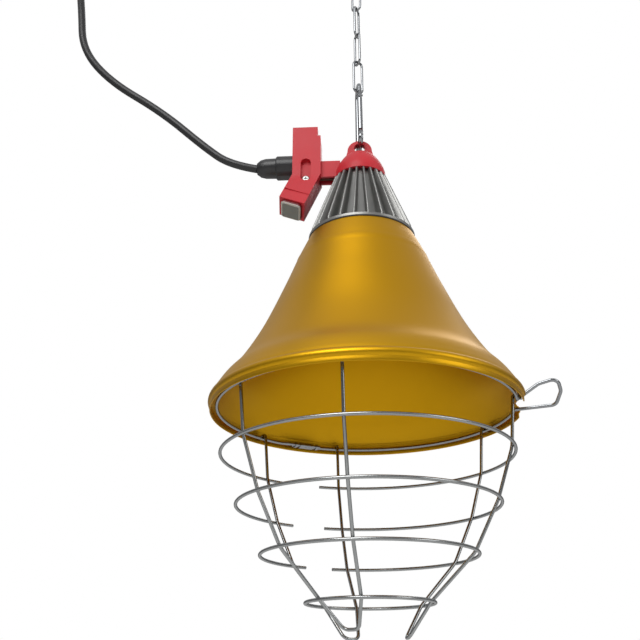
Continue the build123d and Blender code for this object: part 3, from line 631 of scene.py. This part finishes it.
def wire_piece(name, points, diameter, closed=False):
    """Round wire along points given in millimetres."""
    data = bpy.data.curves.new(name, "CURVE")
    data.dimensions = "3D"
    data.bevel_depth = diameter / 2 * MM
    data.bevel_resolution = 5
    data.use_fill_caps = True
    spline = data.splines.new("POLY")
    spline.points.add(len(points) - 1)
    for point, spot in zip(spline.points, points):
        point.co = (*place(*spot), 1)
    spline.use_cyclic_u = closed
    spline.use_smooth = True
    return new_piece(name, data)


def turned(points, degrees):
    """Points turned about the lamp's axis."""
    spin = Matrix.Rotation(math.radians(degrees), 3, "Z")
    return [spin @ Vector(p) for p in points]


zinc = finish_of(
    "zinc_plate", (0.30, 0.31, 0.32), 0.17, metallic=1.0, tone=(90, 0.14),
    grain=(2600, 0.18, 0.03), rough_spread=0.1)
LINK_WIRE, LINK_HALF, LINK_LENGTH = 2.0, 3.8, 31.0
CHAIN_TOP, CHAIN_PITCH = 386.25, 28.7
for number, turn in enumerate((150, 64, 120, 30), 1):
    high = CHAIN_TOP - (number - 1) * CHAIN_PITCH
    low = high - LINK_LENGTH
    corners = [
        (LINK_HALF, 0, low), (LINK_HALF, 0, high), (-LINK_HALF, 0, high), (-LINK_HALF, 0, low)]
    path = rounded_corners(corners, [LINK_HALF - 0.02], closed=True)
    link_piece = wire_piece(f"link_{number}_wire", turned(path, turn), LINK_WIRE, closed=True)
    paint(link_piece, zinc)
    stand_in(link_piece, f"link_{number}", "zinc_chain", f"chain_link_{number}")
for node in ("top_hook", "snap_hook", "snap_gate", "gate_pin"):
    paint(nodes[node], zinc)

# ---------------------------------------------------------------- retaining ring with its handle
# Spring wire 2.4 mm thick, bent to a ring that snaps behind the bead, with a loop to squeeze it by.
# Its ends lie side by side in a crimped sleeve, with a clip each side.
RETAINER_WIRE, RETAINER, RETAINER_HEIGHT = 2.4, 99.5, 3.2
HANDLE_TURN, HANDLE_HALF, HANDLE_CORNER = -5.5, 8.5, 2.4
JOINT_TURN = 118.5
STEP_START, STEP_TURN = 6, 7            # degrees past the joint where the wire steps inwards


def about_axis(radius, azimuth, z):
    """A point by its distance from the lamp's axis, its direction in degrees and its height."""
    angle = math.radians(azimuth)
    return (radius * math.cos(angle), radius * math.sin(angle), z)


def ring_points(radius, z, first, last, step=2.5):
    """Points along an arc about the lamp's axis, between two directions in degrees."""
    count = max(2, round(abs(last - first) / step))
    return [about_axis(radius, first + (last - first) * k / count, z) for k in range(count + 1)]


opening = math.degrees(math.asin((HANDLE_HALF + HANDLE_CORNER) / RETAINER))
along = RETAINER * math.cos(math.radians(opening))
handle = rounded_corners([
    (along, -HANDLE_HALF - HANDLE_CORNER, RETAINER_HEIGHT),
    (along + 0.3, -HANDLE_HALF, RETAINER_HEIGHT + 0.8),
    (113, -12, 12.5), (125, -14.5, 15.0), (127.5, -6, 9.0), (124.5, 2.5, 2.5),
    (along + 0.3, HANDLE_HALF, RETAINER_HEIGHT - 0.8),
    (along, HANDLE_HALF + HANDLE_CORNER, RETAINER_HEIGHT)], [1.9, 8, 5, 6, 5, 1.9])
inner_radius = RETAINER - RETAINER_WIRE - 0.1
step_start = JOINT_TURN + STEP_START
retainer_line = ring_points(inner_radius, RETAINER_HEIGHT, JOINT_TURN - 6.5, step_start)
for k in range(1, 6):
    ease = k / 6
    ease = ease * ease * (3 - 2 * ease)
    radius = inner_radius + (RETAINER - inner_radius) * ease
    retainer_line.append(about_axis(radius, step_start + STEP_TURN * k / 6, RETAINER_HEIGHT))
retainer_line += ring_points(
    RETAINER, RETAINER_HEIGHT, step_start + STEP_TURN, 360 + HANDLE_TURN - opening)
retainer_line += turned(handle, HANDLE_TURN)
retainer_line += ring_points(RETAINER, RETAINER_HEIGHT, HANDLE_TURN + opening, JOINT_TURN + 6.5)
retainer = wire_piece("retainer_wire", retainer_line, RETAINER_WIRE)
paint(retainer, zinc)
stand_in(retainer, "guard", "zinc_wire", "retaining_ring")
for node in ("ring_sleeve", "ring_clip_1", "ring_clip_2"):
    paint(nodes[node], zinc)

# ---------------------------------------------------------------- guard rings and ribs
# Zinc-plated wire 2.2 mm thick. Three hairpin ribs hook over the retaining ring and are spot
# welded inside four rings, of which the upper three are open between the legs of one rib.
GUARD_WIRE = 2.2
GAP_END, GAP_START = 129.7, 472.2       # directions of the ends of an open ring, in degrees
rings = ((95.8, -28.0), (84.5, -60.6), (68.3, -91.3), (39.8, -119.3))
# direction and spread in degrees, and the lowest point, of each rib
ribs = ((9, 22, -139), (122, 18.5, -139), (240.5, 22, -135.5))
TIP_RADIUS, TIP_HALF = 22.5, 5
guard_zinc = finish_of(
    "guard_zinc", (0.34, 0.35, 0.35), 0.22, metallic=1.0, tone=(60, 0.16), grain=(2400, 0.2, 0.03),
    rough_spread=0.1)
for number, (radius, z) in enumerate(rings, 1):
    name = f"ring_{number}_wire"
    if number < len(rings):
        piece = wire_piece(name, ring_points(radius, z, GAP_END, GAP_START), GUARD_WIRE)
    else:
        piece = wire_piece(name, ring_points(radius, z, 0, 360)[:-1], GUARD_WIRE, closed=True)
    paint(piece, guard_zinc)
    stand_in(piece, "guard", "zinc_wire", f"guard_ring_{number}")

hook_reach = (RETAINER_WIRE + GUARD_WIRE) / 2 + 0.15
leg = [
    (RETAINER + hook_reach, RETAINER_HEIGHT - 1),
    (RETAINER + hook_reach, RETAINER_HEIGHT + hook_reach),
    (RETAINER - hook_reach, RETAINER_HEIGHT + hook_reach)]
leg += [(radius - GUARD_WIRE + 0.05, z) for radius, z in rings]
leg_bends, tip_bends = [2.2, 2.2, 20, 20, 20, 10], [5.4, 5.4]
for number, (turn, spread, tip_z) in enumerate(ribs, 1):
    corners = [about_axis(r, turn + spread, z) for r, z in leg]
    corners += turned([(TIP_RADIUS, TIP_HALF, tip_z), (TIP_RADIUS, -TIP_HALF, tip_z)], turn)
    corners += [about_axis(r, turn - spread, z) for r, z in reversed(leg)]
    path = rounded_corners(corners, leg_bends + tip_bends + leg_bends[::-1])
    piece = wire_piece(f"rib_{number}_wire", path, GUARD_WIRE)
    paint(piece, guard_zinc)
    stand_in(piece, "guard", "zinc_wire", f"guard_rib_{number}")

# ---------------------------------------------------------------- lampholder
# A glazed ceramic body with a nickel-plated screw shell and a sprung centre contact. A steel
# strap holds it to the web of the heat sink.
paint(nodes["lampholder_body"], finish_of(
    "glazed_ceramic", (0.74, 0.72, 0.66), 0.22, tone=(50, 0.08), grain=(600, 0.06, 0.05)))
nickel = finish_of("nickel_plate", (0.66, 0.58, 0.42), 0.3, metallic=1.0, tone=(60, 0.1))
for node in ("lampholder_shell", "centre_contact"):
    paint(nodes[node], nickel)

# ---------------------------------------------------------------- plug and the coil's tie
# A black moulded plug with two round nickel-plated pins, and the black band with an eye that holds
# the coiled part of the cord. They hang on the cord, so they move with it.
for node, name, width, slot, coat in (
        ("plug_body", "plug_moulding", 0.8, "black_plastic", black),
        ("coil_tie", "tie_moulding", 0.4, "black_plastic", black),
        ("plug_pin_1", "left_pin", 0.2, "plated_brass", nickel),
        ("plug_pin_2", "right_pin", 0.2, "plated_brass", nickel)):
    piece = softened(node, name, width)
    paint(piece, coat)
    stand_in(piece, "lamp", slot, node)

# ---------------------------------------------------------------- screws and strap
# Zinc-plated machine screws with cross heads, all put in from below or from the front, and the
# flat steel strap that carries the lampholder.
screw_zinc = finish_of("screw_zinc", (0.30, 0.30, 0.29), 0.33, metallic=1.0, tone=(120, 0.12))
screws = [f"neck_screw_{k}" for k in (1, 2, 3)]
screws += [f"{kind}_screw_{k}" for kind in ("cap", "strap") for k in (1, 2)]
for node in screws + ["cover_screw", "holder_strap"]:
    paint(nodes[node], screw_zinc)

# ---------------------------------------------------------------- wiring
# Brown, blue and green insulated leads run from the white terminal block in the box to the
# lampholder and the heat sink. The cord's own cores end in the same block.
insulation = {
    "live": (0.16, 0.05, 0.02), "neutral": (0.02, 0.08, 0.35), "earth": (0.10, 0.32, 0.04)}
for wire_name, color in insulation.items():
    coat = finish_of(f"{wire_name}_insulation", color, 0.4)
    paint(nodes[f"lead_{wire_name}"], coat)
    paint(nodes[f"core_{wire_name}"], coat)
paint(nodes["terminal_block"], finish_of("white_block", (0.7, 0.7, 0.68), 0.4))
